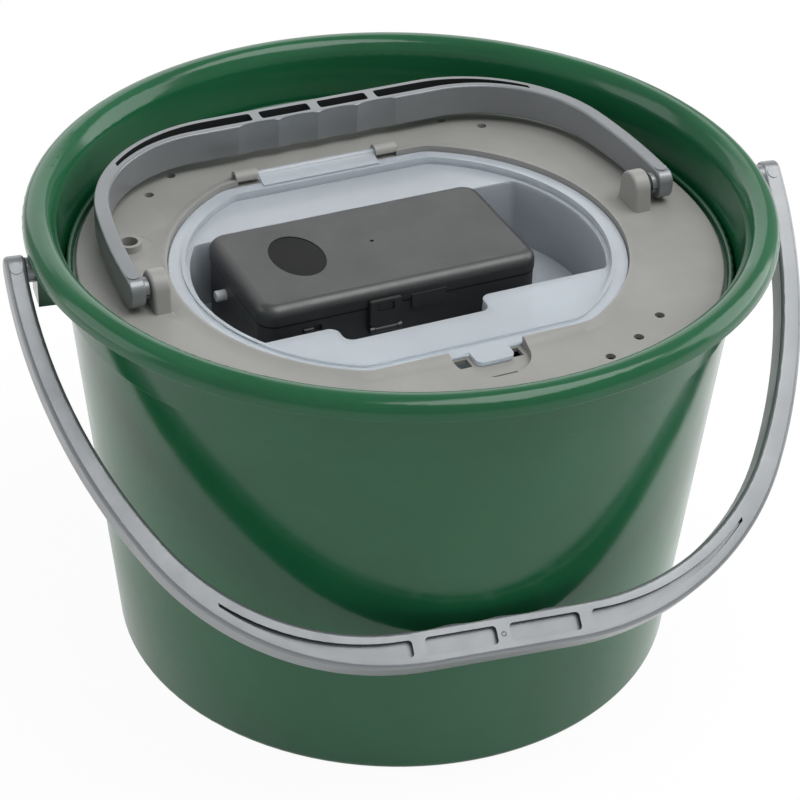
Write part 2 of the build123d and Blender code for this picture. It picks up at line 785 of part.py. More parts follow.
screw_radius = 0.95
screw_head_radius = 1.9
screw_head_height = 1.3
screw_length = 8.0
screw_hole_gap = 0.05
ear_thickness = 1.2
post_radius = 2.3
clamp_post_reach = 15.5
clamp_y = -6.5
clamp_width = 7.0
clamp_places = [(motor_x - clamp_post_reach, clamp_y), (motor_x + clamp_post_reach, clamp_y)]
clamp_seat = motor_z - 2.0
head_ear = 14.5
head_x = head_left + head_length / 2
head_places = [(head_x, drive_y - head_ear), (head_x, drive_y + head_ear)]
head_seat = motor_z - 10.0
latch_axis_z = case_top + seal_height - 10.8
latch_axis_y = pump_front - 1.6
latch_pin_radius = 0.8
latch_ear = 2.0
latch_ear_radius = 1.7
latch_ear_reach = 2.4
latch_barrel_radius = 1.6
latch_ear_gap = 0.3
hinge_axis_y = pump_back + pump_hinge_set
hinge_axis_z = case_top + pump_hinge_rise
switch_z = case_top - 4.0
switch_slot = (9.0, 3.2)
switch_box = (14.0, 6.0, 5.0)
switch_gap = 0.3
slider_proud = 1.2


def knuckle(centre_x, length, web_from, web_to):
    """Hinge knuckle bored for its pin, with a web to the box between two heights."""
    axis_to_wall = pump_hinge_set + case_inset + 0.3
    far_end = web_to if web_from > hinge_axis_z else web_from
    with BuildPart() as barrel:
        with BuildSketch(facing_right(centre_x - length / 2, hinge_axis_y, hinge_axis_z)):
            Circle(pump_hinge_radius)
            with Locations((-axis_to_wall / 2, (web_from + web_to) / 2 - hinge_axis_z)):
                Rectangle(axis_to_wall, web_to - web_from)
            with Locations((-pump_hinge_radius / 2, (far_end - hinge_axis_z) / 2)):
                Rectangle(pump_hinge_radius, abs(far_end - hinge_axis_z))
            Circle(pump_hinge_pin + axle_clearance, mode=Mode.SUBTRACT)
        extrude(amount=length)
    return barrel.part


hinge_centres = (pump_centre[0] - knuckle_offset, pump_centre[0] + knuckle_offset)
knuckle_width = (knuckle_length - knuckle_gap) / 2
knuckle_step = (knuckle_width + knuckle_gap) / 2
case_knuckles = (hinge_centres[0] - knuckle_step, hinge_centres[1] + knuckle_step)
cover_knuckles = (hinge_centres[0] + knuckle_step, hinge_centres[1] - knuckle_step)

with BuildPart() as pump_case:
    extrude(case_plan(case_inset, pump_bottom), amount=case_height)
    fillet(pump_case.faces().sort_by(Axis.Z)[0].edges(), case_bottom_corner)
    cavity = case_plan(case_inset + pump_wall, case_floor, pump_inner_corner)
    extrude(cavity, amount=case_height, mode=Mode.SUBTRACT)
    # pad behind the contact bridge
    with BuildSketch(facing_right(inner_right - contact_pad, pump_centre[1], cell_axis_z)):
        Rectangle(2 * cell_offset + contact_height, contact_height + 2)
    extrude(amount=contact_pad + 0.3)
    # wall between the drive and the battery bay
    with BuildSketch(Plane((divider_x, pump_centre[1], case_floor - 0.3))):
        Rectangle(pump_wall, pump_depth - 2 * case_inset - pump_wall)
    extrude(amount=case_height - pump_wall - 1.0)
    # cradle ribs under the motor
    for rib_y in (motor_front - motor_length + 6, motor_front - 6):
        with BuildSketch(facing_front(motor_x, rib_y + 1.5, 0)):
            with Locations((0, (case_floor - 0.3 + motor_z - 3) / 2)):
                Rectangle(2 * motor_radius + 3, motor_z - 3 - case_floor + 0.3)
            with Locations((0, motor_z)):
                Circle(motor_radius + 0.1, mode=Mode.SUBTRACT)
        extrude(amount=3)
    # screw posts of the motor clamp and of the pump head
    for place in clamp_places:
        with BuildSketch(Plane((*place, case_floor - 0.3))):
            Circle(post_radius)
        extrude(amount=clamp_seat - case_floor + 0.3)
        with BuildSketch(Plane((*place, clamp_seat))):
            Circle(screw_radius + screw_hole_gap)
        extrude(amount=-screw_length, mode=Mode.SUBTRACT)
    for place in head_places:
        with BuildSketch(Plane((*place, case_floor - 0.3))):
            Circle(post_radius)
        extrude(amount=head_seat - case_floor + 0.3)
        with BuildSketch(Plane((*place, head_seat))):
            Circle(screw_radius + screw_hole_gap)
        extrude(amount=-screw_length, mode=Mode.SUBTRACT)
    # hole of the air nipple and slot of the switch
    with BuildSketch(facing_right(case_left - 1, drive_y, motor_z)):
        Circle(nipple_radius + nipple_hole_gap)
    extrude(amount=pump_wall + 2, mode=Mode.SUBTRACT)
    with BuildSketch(facing_front(switch_x, case_front - 1, switch_z)):
        Rectangle(*switch_slot)
    extrude(amount=-(pump_wall + 2), mode=Mode.SUBTRACT)
    # ears of the front latch
    for side in (1, -1):
        ear_x = latch_centre + side * (latch_width - latch_ear) / 2
        with BuildSketch(facing_right(ear_x - latch_ear / 2, latch_axis_y, latch_axis_z)):
            Circle(latch_ear_radius)
            with Locations((latch_ear_reach / 2, 0)):
                Rectangle(latch_ear_reach, 2 * latch_ear_radius)
            Circle(latch_pin_radius + axle_clearance, mode=Mode.SUBTRACT)
        extrude(amount=latch_ear)
    # the case's knuckles of the cover's hinge
    for centre_x in case_knuckles:
        add(knuckle(centre_x, knuckle_width, case_top - web_height, case_top))

write(pump_case.part, "pump_case")

badge_place = (-47.5, 4.8)
badge_radii = (12.0, 17.5)
badge_depth = 0.3
gate_place = (-12.0, 4.6)
catch_size = (6.8, 3.2)
window_centre_z = latch_axis_z + 11.2

with BuildPart() as pump_cover:
    extrude(case_plan(0, cover_bottom), amount=pump_top - cover_bottom)
    fillet(pump_cover.faces().sort_by(Axis.Z)[-1].edges(), cover_top_corner)
    with BuildPart(mode=Mode.PRIVATE) as hollow:
        extrude(case_plan(pump_wall, cover_bottom - 5), amount=pump_top - pump_wall - cover_bottom + 5)
        fillet(hollow.faces().sort_by(Axis.Z)[-1].edges(), cover_top_corner - pump_wall)
    add(hollow.part, mode=Mode.SUBTRACT)
    # bare badge field and gate mark on top
    with BuildSketch(Plane((*badge_place, pump_top))):
        Ellipse(*badge_radii)
    extrude(amount=-badge_depth, mode=Mode.SUBTRACT)
    with BuildSketch(Plane((*gate_place, pump_top))):
        Circle(0.9)
    extrude(amount=-0.8, mode=Mode.SUBTRACT)
    # lift tab, and the catch that the latch's window hooks over
    with BuildSketch(facing_front(0, pump_front + 0.15, 0)):
        with Locations((lift_tab_centre, cover_bottom + 2.0 - lift_tab_size[1] / 2)):
            Rectangle(*lift_tab_size)
    extrude(amount=tab_thickness)
    with BuildSketch(facing_front(0, pump_front + 0.15, 0)):
        with Locations((latch_centre, cover_bottom + 2.0 - 3.2)):
            Rectangle(latch_width - 4.0, 6.4)
    extrude(amount=0.65)
    with BuildSketch(facing_front(0, pump_front + 0.15, 0)):
        with Locations((latch_centre, window_centre_z)):
            Rectangle(*catch_size)
    extrude(amount=2.3)
    for centre_x in cover_knuckles:
        add(knuckle(centre_x, knuckle_width, cover_bottom, cover_bottom + 1.2))

write(pump_cover.part, "pump_cover")

with BuildPart() as cover_seal:
    extrude(case_plan(case_inset, case_top + seal_gap), amount=seal_height)
    extrude(case_plan(case_inset + pump_wall, case_top, pump_inner_corner), amount=3, mode=Mode.SUBTRACT)

write(cover_seal.part, "cover_seal")


def rods_along_x(name, places, radius, length):
    """Write plain pins along X, given the centre of each."""
    with BuildPart() as pins:
        for x, y, z in places:
            with BuildSketch(facing_right(x - length / 2, y, z)):
                Circle(radius)
            extrude(amount=length)
    write(pins.part, name)


rods_along_x("cover_hinge_pins", [(x, hinge_axis_y, hinge_axis_z) for x in hinge_centres],
             pump_hinge_pin, knuckle_length)
rods_along_x("latch_pin", [(latch_centre, latch_axis_y, latch_axis_z)], latch_pin_radius, latch_width)

barrel_length = latch_width - 2 * (latch_ear + latch_ear_gap)
with BuildPart() as cover_latch:
    leaf_y = latch_axis_y - latch_plate / 2
    with BuildSketch(facing_front(0, leaf_y + latch_plate, 0)):
        with Locations((latch_centre, latch_axis_z - 1.6 + latch_height / 2)):
            RectangleRounded(barrel_length, latch_height, 1.0)
        with Locations((latch_centre, latch_axis_z + 2.4 + (latch_height - 4.0) / 2)):
            RectangleRounded(latch_width, latch_height - 4.0, 1.0)
        with Locations((latch_centre, window_centre_z)):
            Rectangle(catch_size[0] + 0.8, catch_size[1] + 0.8, mode=Mode.SUBTRACT)
    extrude(amount=latch_plate)
    with BuildSketch(facing_right(latch_centre - barrel_length / 2, latch_axis_y, latch_axis_z)):
        Circle(latch_barrel_radius)
    extrude(amount=barrel_length)
    with BuildSketch(facing_right(latch_centre - latch_width, latch_axis_y, latch_axis_z)):
        Circle(latch_pin_radius + axle_clearance)
    extrude(amount=2 * latch_width, mode=Mode.SUBTRACT)

write(cover_latch.part, "cover_latch")

with BuildPart() as power_switch:
    slider_length = switch_slot[0] - switch_travel - 2 * running_gap
    with BuildSketch(facing_front(switch_x - switch_travel / 2, case_front + pump_wall, switch_z)):
        Rectangle(slider_length, switch_slot[1] - 2 * running_gap)
    extrude(amount=pump_wall + slider_proud)
    crest = power_switch.faces().sort_by(Axis.Y)[0]
    fillet(crest.edges(), 0.4)

write(power_switch.part, "power_switch")

with BuildPart() as switch_body:
    body_front = case_front + pump_wall + switch_gap
    with BuildSketch(facing_front(switch_x, body_front, switch_z)):
        Rectangle(*switch_box[:2])
    extrude(amount=-switch_box[2])
    with BuildSketch(facing_front(switch_x, body_front + switch_box[2], switch_z)):
        with GridLocations(4, 0, 3, 1):
            Rectangle(1.5, 0.6)
    extrude(amount=-2.5)

write(switch_body.part, "switch_body")


# ---------------------------------------------------------------------------------------------------
# Drive: motor, eccentric, yoke rod, diaphragm and pump head
# ---------------------------------------------------------------------------------------------------

def drum(radius, start, length, offset=0.0):
    """Round bar along Y on the motor's axis, or beside it by an offset, from a start towards +Y."""
    with BuildPart() as bar:
        with BuildSketch(facing_front(motor_x + offset, start, motor_z)):
            Circle(radius)
        extrude(amount=-length)
    return bar.part


with BuildPart() as motor:
    add(drum(motor_radius, motor_front - motor_length, motor_length))
    fillet(motor.edges().filter_by(GeomType.CIRCLE), 1.2)
    add(drum(5.0, motor_front, 1.2))
    add(drum(4.0, motor_front - motor_length - 1.5, 1.5))
    add(drum(shaft_radius + 0.08, motor_front - motor_length + 2, motor_length), mode=Mode.SUBTRACT)

write(motor.part, "motor")

with BuildPart() as motor_shaft:
    add(drum(shaft_radius, motor_front - motor_length + 3, motor_length + 4.5))

write(motor_shaft.part, "motor_shaft")

eccentric_width = yoke_thickness - 0.4
with BuildPart() as eccentric:
    add(drum(eccentric_radius, drive_y - eccentric_width / 2, eccentric_width, throw))
    add(drum(shaft_radius + 0.02, drive_y - eccentric_width, 2 * eccentric_width), mode=Mode.SUBTRACT)

write(eccentric.part, "eccentric")

slot_half_x = eccentric_radius + 2 * throw + running_gap
slot_half_z = eccentric_radius + throw + running_gap
yoke_left = motor_x - slot_half_x - yoke_wall
diaphragm_x = head_left + head_length - 4.0
button_thickness = 1.4
button_radius = 5.0

with BuildPart() as drive_rod:
    with BuildSketch(facing_front(motor_x, drive_y + yoke_thickness / 2, motor_z)):
        RectangleRounded(2 * (slot_half_x + yoke_wall), 2 * (slot_half_z + yoke_wall), 3)
        RectangleRounded(2 * slot_half_x, 2 * slot_half_z, 2, mode=Mode.SUBTRACT)
    extrude(amount=yoke_thickness)
    button_left = diaphragm_x + diaphragm_thickness + contact_gap
    with BuildSketch(facing_right(button_left, drive_y, motor_z)):
        Circle(drive_rod_radius)
    extrude(amount=yoke_left + 0.5 - button_left)
    with BuildSketch(facing_right(button_left, drive_y, motor_z)):
        Circle(button_radius)
    extrude(amount=button_thickness)

write(drive_rod.part, "drive_rod")

with BuildPart() as diaphragm:
    with BuildSketch(facing_right(diaphragm_x, drive_y, motor_z)):
        Circle(diaphragm_radius)
    extrude(amount=diaphragm_thickness)

write(diaphragm.part, "diaphragm")

port_radius = 1.5
port_spacing = 10.0
spigot_radius = 1.9
spigot_length = 2.6
chamber_depth = head_length - 3.0
ear_width = 6.0

with BuildPart() as pump_head:
    with BuildSketch(facing_right(head_left, drive_y, motor_z)):
        RectangleRounded(head_width, head_width, 3)
    extrude(amount=head_length)
    with BuildSketch(Plane((head_x, drive_y, head_seat + 0.05))):
        Rectangle(head_length * 0.6, 2 * head_ear + ear_width)
    extrude(amount=ear_thickness)
    with BuildSketch(facing_right(head_left + 3, drive_y, motor_z)):
        Circle(chamber_radius)
    extrude(amount=chamber_depth + 1, mode=Mode.SUBTRACT)
    with BuildSketch(facing_right(head_left, drive_y, motor_z)):
        Circle(spigot_radius)
    extrude(amount=-spigot_length)
    with BuildSketch(facing_right(head_left - spigot_length, drive_y, motor_z)):
        Circle(nipple_bore)
        with Locations((0, port_spacing / 2)):
            Circle(port_radius)
    extrude(amount=head_length, mode=Mode.SUBTRACT)
    with BuildSketch(Plane.XY.offset(head_seat - 1)):
        with Locations(*head_places):
            Circle(screw_radius + screw_hole_gap)
    extrude(amount=ear_thickness + 2, mode=Mode.SUBTRACT)

write(pump_head.part, "pump_head")

with BuildPart() as valve_sheet:
    with BuildSketch(facing_right(head_left + 3.05, drive_y, motor_z)):
        Circle(diaphragm_radius)
        with Locations((0, port_spacing / 2), (0, 0)):
            SlotCenterToCenter(2.0, 0.6, mode=Mode.SUBTRACT)
    extrude(amount=0.6)

write(valve_sheet.part, "valve_sheet")


def screws(name, places, seat):
    """Write pan-head screws that stand on a seat, as separate solids of one node."""
    with BuildPart() as group:
        for place in places:
            with BuildSketch(Plane((*place, seat + 0.05))):
                Circle(screw_head_radius)
            extrude(amount=screw_head_height)
            with BuildSketch(Plane((*place, seat + 0.05))):
                Circle(screw_radius)
            extrude(amount=-(screw_length - 0.5))
    write(group.part, name)


clamp_inner = motor_radius + 0.1
clamp_outer = clamp_inner + 1.0
with BuildPart() as motor_clamp:
    with BuildSketch(facing_front(motor_x, clamp_y + clamp_width / 2, motor_z)):
        Circle(clamp_outer)
        with Locations((0, -(motor_z - clamp_seat) / 2)):
            Rectangle(2 * clamp_outer, motor_z - clamp_seat - 0.1)
        with Locations((0, clamp_seat - motor_z + 0.05 + ear_thickness / 2)):
            Rectangle(2 * (clamp_post_reach + post_radius), ear_thickness)
        with Locations((0, clamp_seat - motor_z + 0.05 - clamp_outer)):
            Rectangle(4 * clamp_outer, 2 * clamp_outer, mode=Mode.SUBTRACT)
        Circle(clamp_inner, mode=Mode.SUBTRACT)
    extrude(amount=clamp_width)
    with BuildSketch(Plane.XY.offset(clamp_seat - 1)):
        with Locations(*clamp_places):
            Circle(screw_radius + screw_hole_gap)
    extrude(amount=ear_thickness + 2, mode=Mode.SUBTRACT)

write(motor_clamp.part, "motor_clamp")
screws("clamp_screws", clamp_places, clamp_seat + 0.05 + ear_thickness)
screws("head_screws", head_places, head_seat + 0.05 + ear_thickness)

with BuildPart() as air_nipple:
    with BuildSketch(facing_right(inner_left + contact_gap, drive_y, motor_z)):
        Circle(nipple_flange_radius)
    extrude(amount=nipple_flange)
    with BuildSketch(facing_right(pump_left - nipple_length, drive_y, motor_z)):
        Circle(nipple_radius)
    extrude(amount=inner_left + nipple_flange - pump_left + nipple_length)
    fillet(air_nipple.edges().sort_by(Axis.X)[0], 0.6)
    with BuildSketch(facing_right(inner_left + nipple_flange, drive_y, motor_z)):
        Circle(spigot_radius)
    extrude(amount=nipple_spigot)
    with BuildSketch(facing_right(pump_left - nipple_length - 1, drive_y, motor_z)):
        Circle(nipple_bore)
    extrude(amount=inner_left - pump_left + nipple_length + 6, mode=Mode.SUBTRACT)

write(air_nipple.part, "air_nipple")

with BuildPart() as outlet_tube:
    tube_start = inner_left + nipple_flange + 2 * contact_gap
    with BuildSketch(facing_right(tube_start, drive_y, motor_z)):
        Circle(spigot_radius + tube_wall)
        Circle(spigot_radius + contact_gap, mode=Mode.SUBTRACT)
    extrude(amount=head_left - contact_gap - tube_start)

write(outlet_tube.part, "outlet_tube")


# ---------------------------------------------------------------------------------------------------
# Battery bay
# ---------------------------------------------------------------------------------------------------

bay_left = divider_x + pump_wall / 2 + contact_gap
plate_right = inner_right - contact_pad - contact_gap - contact_plate
cell_spots = {
    "battery_cell_a": (pump_centre[1] - cell_offset, 1),
    "battery_cell_b": (pump_centre[1] + cell_offset, -1),
}
spring_length = plate_right - bay_left - contact_plate - cell_length - cell_nub_length - 2 * contact_gap


def cell(y, facing):
    """One D cell along X; facing is +1 where its nub points to +X."""
    nub_end = plate_right - contact_gap if facing > 0 else bay_left + contact_plate + contact_gap
    with BuildPart() as body:
        with BuildSketch(facing_right(nub_end, y, cell_axis_z)):
            Circle(cell_nub_radius)
        extrude(amount=-facing * (cell_nub_length + 0.5))
        with BuildSketch(facing_right(nub_end - facing * cell_nub_length, y, cell_axis_z)):
            Circle(cell_radius)
        extrude(amount=-facing * cell_length)
    return body.part


for cell_name, (cell_y, cell_facing) in cell_spots.items():
    write(cell(cell_y, cell_facing), cell_name)


def contact_leaf(base_x, y, facing):
    """Bent leaf that springs from its plate towards the cell: a strip with a foot, a ramp and a crest."""
    low = contact_gap + leaf_thickness / 2
    high = spring_length - contact_gap - leaf_thickness / 2
    bends = ((low, -5.6), (low, -3.4), (high, 0.6), (high, 2.6), (low + 0.6, 5.4))
    with BuildPart() as leaf:
        with BuildSketch(facing_front(base_x, y + leaf_width / 2, cell_axis_z)):
            with BuildLine():
                FilletPolyline(*[(facing * x, z) for x, z in bends], radius=0.8)
            trace(line_width=leaf_thickness)
        extrude(amount=leaf_width)
    return leaf.part


left_seat = bay_left + contact_plate
with BuildPart() as contact_springs:
    add(contact_leaf(left_seat, cell_spots["battery_cell_a"][0], 1))
    add(contact_leaf(plate_right, cell_spots["battery_cell_b"][0], -1))

write(contact_springs.part, "contact_springs")

with BuildPart() as contact_bridge:
    with BuildSketch(facing_right(plate_right, pump_centre[1], cell_axis_z)):
        RectangleRounded(2 * cell_offset + contact_height, contact_height, 3)
    extrude(amount=contact_plate)

write(contact_bridge.part, "contact_bridge")

with BuildPart() as terminal_plates:
    with BuildSketch(facing_right(bay_left, pump_centre[1], cell_axis_z)):
        with Locations((-cell_offset, 0), (cell_offset, 0)):
            RectangleRounded(contact_height, contact_height, 3)
    extrude(amount=contact_plate)

write(terminal_plates.part, "terminal_plates")

strip_top = case_top - 0.8
strip_x = divider_x - pump_wall / 2 - contact_gap - contact_plate
with BuildPart() as conductor_strips:
    for side in (1, -1):
        strip_y = pump_centre[1] + side * cell_offset
        with BuildSketch(facing_right(strip_x, strip_y, (cell_axis_z + strip_top) / 2)):
            Rectangle(3, strip_top - cell_axis_z)
        extrude(amount=contact_plate)

write(conductor_strips.part, "conductor_strips")
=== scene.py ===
# %% [markdown]
# # An aerated bait bucket, dressed for a studio picture
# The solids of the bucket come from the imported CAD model. This script leaves them where they are. It gives
# every piece a finish built from shader nodes, adds the fine moulded details that are too small for the
# solids, and sets up a pale floor, soft lamps and the camera.
# Lengths are in metres, +Z is up, and the front of the bucket faces -Y.

# %% Load the frame
import json
import math

import bmesh
import bpy
import numpy as np
from mathutils import Matrix, Vector


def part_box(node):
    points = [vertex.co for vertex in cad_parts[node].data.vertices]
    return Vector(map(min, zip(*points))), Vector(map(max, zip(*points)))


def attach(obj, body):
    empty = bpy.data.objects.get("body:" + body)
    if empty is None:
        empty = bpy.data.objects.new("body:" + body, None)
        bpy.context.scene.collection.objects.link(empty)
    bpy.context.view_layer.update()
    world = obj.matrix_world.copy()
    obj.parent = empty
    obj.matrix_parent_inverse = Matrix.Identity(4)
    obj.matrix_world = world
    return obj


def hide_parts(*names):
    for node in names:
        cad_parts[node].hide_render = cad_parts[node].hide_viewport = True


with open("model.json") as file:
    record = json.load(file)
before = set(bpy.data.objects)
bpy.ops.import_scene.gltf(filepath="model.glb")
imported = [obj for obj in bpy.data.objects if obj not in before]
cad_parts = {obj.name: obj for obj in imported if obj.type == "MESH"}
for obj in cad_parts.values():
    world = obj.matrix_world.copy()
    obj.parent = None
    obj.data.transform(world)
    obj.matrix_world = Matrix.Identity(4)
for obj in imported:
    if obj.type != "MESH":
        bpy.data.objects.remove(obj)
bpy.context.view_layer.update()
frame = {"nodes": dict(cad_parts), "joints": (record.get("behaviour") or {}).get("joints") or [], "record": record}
nodes = frame["nodes"]

# %% [markdown]
# ## The camera
# The photograph looks down at the bucket from the front left, with a long lens. The place and focal length
# were worked out from the ellipses of the rim. The picture is rolled by a degree and a half, and the lens is
# shifted by a few pixels, because the photograph was cropped off centre.

# %% Camera
camera_place = Vector((-0.3944, -0.8458, 0.7425))
camera_aim = Vector((0.0, 0.0, 0.10994))
camera_roll = math.radians(1.49)
focal_length = 109.77
lens_shift = (0.0042, -0.0015)


def make_camera():
    """Camera at its place, turned so that -Z looks at the aim, then rolled about that line."""
    data = bpy.data.cameras.new("camera")
    data.lens = focal_length
    data.sensor_width = 36.0
    data.shift_x, data.shift_y = lens_shift
    data.clip_start = 0.05
    data.clip_end = 30.0
    camera = bpy.data.objects.new("camera", data)
    bpy.context.scene.collection.objects.link(camera)
    look = (camera_aim - camera_place).to_track_quat("-Z", "Y").to_matrix()
    roll = Matrix.Rotation(camera_roll, 3, "Z")
    camera.matrix_world = Matrix.Translation(camera_place) @ (look @ roll).to_4x4()
    bpy.context.scene.camera = camera
    print("camera is", round((camera_aim - camera_place).length, 3), "m from its aim")


make_camera()

# %% [markdown]
# ## Node helpers
# A material in Blender is a small graph of nodes. These helpers add a node, set its inputs by name and join
# it to others, so that each finish below reads as a short recipe. Patterns are placed by object coordinates,
# which are the same as the row frame, so they stay on the piece when it moves.

# %% Node helpers
def add_node(tree, kind, **settings):
    """Adds a node; settings with a capital letter are inputs, the others are properties."""
    node = tree.nodes.new(kind)
    for key, value in settings.items():
        if key[0].isupper():
            node.inputs[key.replace("_", " ")].default_value = value
        else:
            setattr(node, key, value)
    return node


def noise(tree, scale, detail=3.0, roughness=0.5, stretch=(1, 1, 1)):
    """Noise on object coordinates, stretched by a factor along each axis."""
    place = tree.nodes.get("place") or add_node(tree, "ShaderNodeTexCoord", name="place")
    mapping = add_node(tree, "ShaderNodeMapping", Scale=stretch)
    tree.links.new(place.outputs["Object"], mapping.inputs["Vector"])
    made = add_node(tree, "ShaderNodeTexNoise", Scale=scale, Detail=detail, Roughness=roughness)
    tree.links.new(mapping.outputs["Vector"], made.inputs["Vector"])
    return made.outputs["Fac"]


def between(tree, source, low, high, start=0.35, end=0.65):
    """Maps source from start..end to low..high, without going past them."""
    made = add_node(tree, "ShaderNodeMapRange", From_Min=start, From_Max=end, To_Min=low, To_Max=high)
    tree.links.new(source, made.inputs["Value"])
    return made.outputs["Result"]


def colour_between(tree, source, first, second, start=0.35, end=0.65):
    """Mixes two colours by where source lies from start to end."""
    ramp = add_node(tree, "ShaderNodeValToRGB")
    ramp.color_ramp.elements[0].position = start
    ramp.color_ramp.elements[1].position = end
    ramp.color_ramp.elements[0].color = (*first, 1)
    ramp.color_ramp.elements[1].color = (*second, 1)
    tree.links.new(source, ramp.inputs["Fac"])
    return ramp.outputs["Color"]


def bump(tree, source, depth, strength=1.0, under=None):
    """Turns a height into a slope of the surface; under is a bump to build on."""
    made = add_node(tree, "ShaderNodeBump", Strength=strength, Distance=depth)
    tree.links.new(source, made.inputs["Height"])
    if under is not None:
        tree.links.new(under, made.inputs["Normal"])
    return made.outputs["Normal"]


def start_material(name):
    """A new material with an empty graph: returns it, its tree and its main shader."""
    material = bpy.data.materials.new(name)
    material.use_nodes = True
    tree = material.node_tree
    return material, tree, tree.nodes["Principled BSDF"]


# %% [markdown]
# ## Moulded plastics
# Injection moulded plastic is never one flat colour. The pigment varies a little from place to place, the
# surface has a fine texture from the mould, and handling leaves faint rubbed patches that are less glossy.
# One recipe makes every opaque plastic here, with its own colours, gloss and grain.

# %% Plastic recipe
def plastic(name, colour, shade, gloss, grain=0.00002, grain_scale=1400.0, coat=0.0, rub=0.08,
            waves=0.0, specular=0.5, metallic=0.0, scuffs=0.0, painted_shade_attribute=None):
    """Principled plastic: colour to shade by slow noise, roughness by rubbed patches, grain as a bump."""
    material, tree, shader = start_material(name)
    tint = colour_between(tree, noise(tree, 22.0, 4.0), colour, shade)
    if scuffs:
        lines = noise(tree, 90.0, 8.0, 0.75, (1.0, 1.0, 9.0))
        worn = add_node(tree, "ShaderNodeMix", data_type="RGBA")
        worn.inputs["B"].default_value = (*(min(1.0, 1.5 * c + 0.02) for c in colour), 1)
        tree.links.new(between(tree, lines, 0.0, scuffs, 0.58, 0.80), worn.inputs["Factor"])
        tree.links.new(tint, worn.inputs["A"])
        tint = worn.outputs["Result"]
    # Painted shade: faces marked by this attribute are mixed towards 0.16 of the colour, as the shade in the
    # bails' pocket recesses.
    if painted_shade_attribute:
        share = add_node(tree, "ShaderNodeAttribute", attribute_name=painted_shade_attribute)
        painted_shade = add_node(tree, "ShaderNodeMix", data_type="RGBA")
        painted_shade.inputs["B"].default_value = (*(0.16 * c for c in colour), 1)
        tree.links.new(share.outputs["Fac"], painted_shade.inputs["Factor"])
        tree.links.new(tint, painted_shade.inputs["A"])
        tint = painted_shade.outputs["Result"]
    tree.links.new(tint, shader.inputs["Base Color"])
    patches = noise(tree, 60.0, 6.0, 0.65)
    tree.links.new(between(tree, patches, gloss, gloss + rub, 0.4, 0.75), shader.inputs["Roughness"])
    surface = None
    if waves:
        surface = bump(tree, noise(tree, 28.0, 2.0), waves)
    surface = bump(tree, noise(tree, grain_scale, 2.0), grain, under=surface)
    tree.links.new(surface, shader.inputs["Normal"])
    shader.inputs["Specular IOR Level"].default_value = specular
    shader.inputs["IOR"].default_value = 1.5
    shader.inputs["Metallic"].default_value = metallic
    shader.inputs["Coat Weight"].default_value = coat
    shader.inputs["Coat Roughness"].default_value = 0.08
    return material


bucket_green = plastic("bucket_green", (0.0082, 0.098, 0.037), (0.0068, 0.084, 0.031), 0.14,
                       grain=0.000004, waves=0.00008, rub=0.06, scuffs=0.07, specular=0.42)
basket_green = plastic("basket_green", (0.008, 0.072, 0.030), (0.0065, 0.060, 0.025), 0.22,
                       grain=0.000006, waves=0.0001, scuffs=0.08)
# The bail's pocket walls and floors are darkened as painted shade through the pocket attribute.
bail_grey = plastic("bail_grey", (0.238, 0.250, 0.260), (0.208, 0.219, 0.229), 0.31,
                    grain=0.000006, grain_scale=1600.0, coat=0.10, rub=0.08, waves=0.00003,
                    metallic=0.38, scuffs=0.06, painted_shade_attribute="pocket")
lid_grey = plastic("lid_grey", (0.300, 0.297, 0.282), (0.262, 0.259, 0.246), 0.42, grain=0.00003,
                   rub=0.12, scuffs=0.12)
pump_black = plastic("pump_black", (0.0190, 0.0197, 0.0206), (0.0150, 0.0156, 0.0163), 0.40,
                     grain=0.00004, grain_scale=2200.0, rub=0.10, specular=0.95, scuffs=0.10)
badge_black = plastic("badge_black", (0.0075, 0.0078, 0.0085), (0.0052, 0.0055, 0.0060), 0.52,
                      grain=0.00001, rub=0.06, specular=0.16)
nipple_white = plastic("nipple_white", (0.60, 0.62, 0.64), (0.50, 0.53, 0.56), 0.35)
drive_white = plastic("drive_white", (0.66, 0.66, 0.63), (0.58, 0.58, 0.55), 0.40)
rubber_black = plastic("rubber_black", (0.022, 0.022, 0.022), (0.012, 0.012, 0.012), 0.72,
                       grain=0.00005, grain_scale=900.0, specular=0.3)
cell_jacket = plastic("cell_jacket", (0.045, 0.050, 0.060), (0.035, 0.038, 0.046), 0.25, coat=0.5)
print("opaque plastics made")

# %% [markdown]
# ## Clear plastics
# The tray is moulded in polypropylene without pigment. It lets light through but blurs it, looks milky where
# it is thick, and picks up a cool tint from the green and black pieces around it. A rough transmission with
# some diffuse white mixed in gives that, and is close to how light really travels in it.

# %% Clear plastics
def clear_plastic(name, milk, tint, haze, blur):
    """Mix of a rough see-through shader and a milky one; haze is the milky share where it is palest."""
    material, tree, shader = start_material(name)
    tree.links.new(colour_between(tree, noise(tree, 30.0), tint, tuple(0.96 * c for c in tint)),
                   shader.inputs["Base Color"])
    tree.links.new(between(tree, noise(tree, 70.0, 5.0, 0.6), blur, blur + 0.06, 0.4, 0.7),
                   shader.inputs["Roughness"])
    shader.inputs["Transmission Weight"].default_value = 1.0
    shader.inputs["IOR"].default_value = 1.38
    milky = add_node(tree, "ShaderNodeBsdfPrincipled", Roughness=0.30)
    tree.links.new(colour_between(tree, noise(tree, 18.0), milk, tuple(0.94 * c for c in milk)),
                   milky.inputs["Base Color"])
    mix = add_node(tree, "ShaderNodeMixShader")
    tree.links.new(between(tree, noise(tree, 14.0, 3.0), haze, haze + 0.08), mix.inputs["Fac"])
    tree.links.new(shader.outputs["BSDF"], mix.inputs[1])
    tree.links.new(milky.outputs["BSDF"], mix.inputs[2])
    tree.links.new(mix.outputs["Shader"], tree.nodes["Material Output"].inputs["Surface"])
    return material


tray_clear = clear_plastic("tray_clear", (0.80, 0.86, 0.92), (0.86, 0.92, 0.97), 0.34, 0.10)
tube_clear = clear_plastic("tube_clear", (0.70, 0.74, 0.76), (0.92, 0.95, 0.96), 0.22, 0.08)
print("clear plastics made")

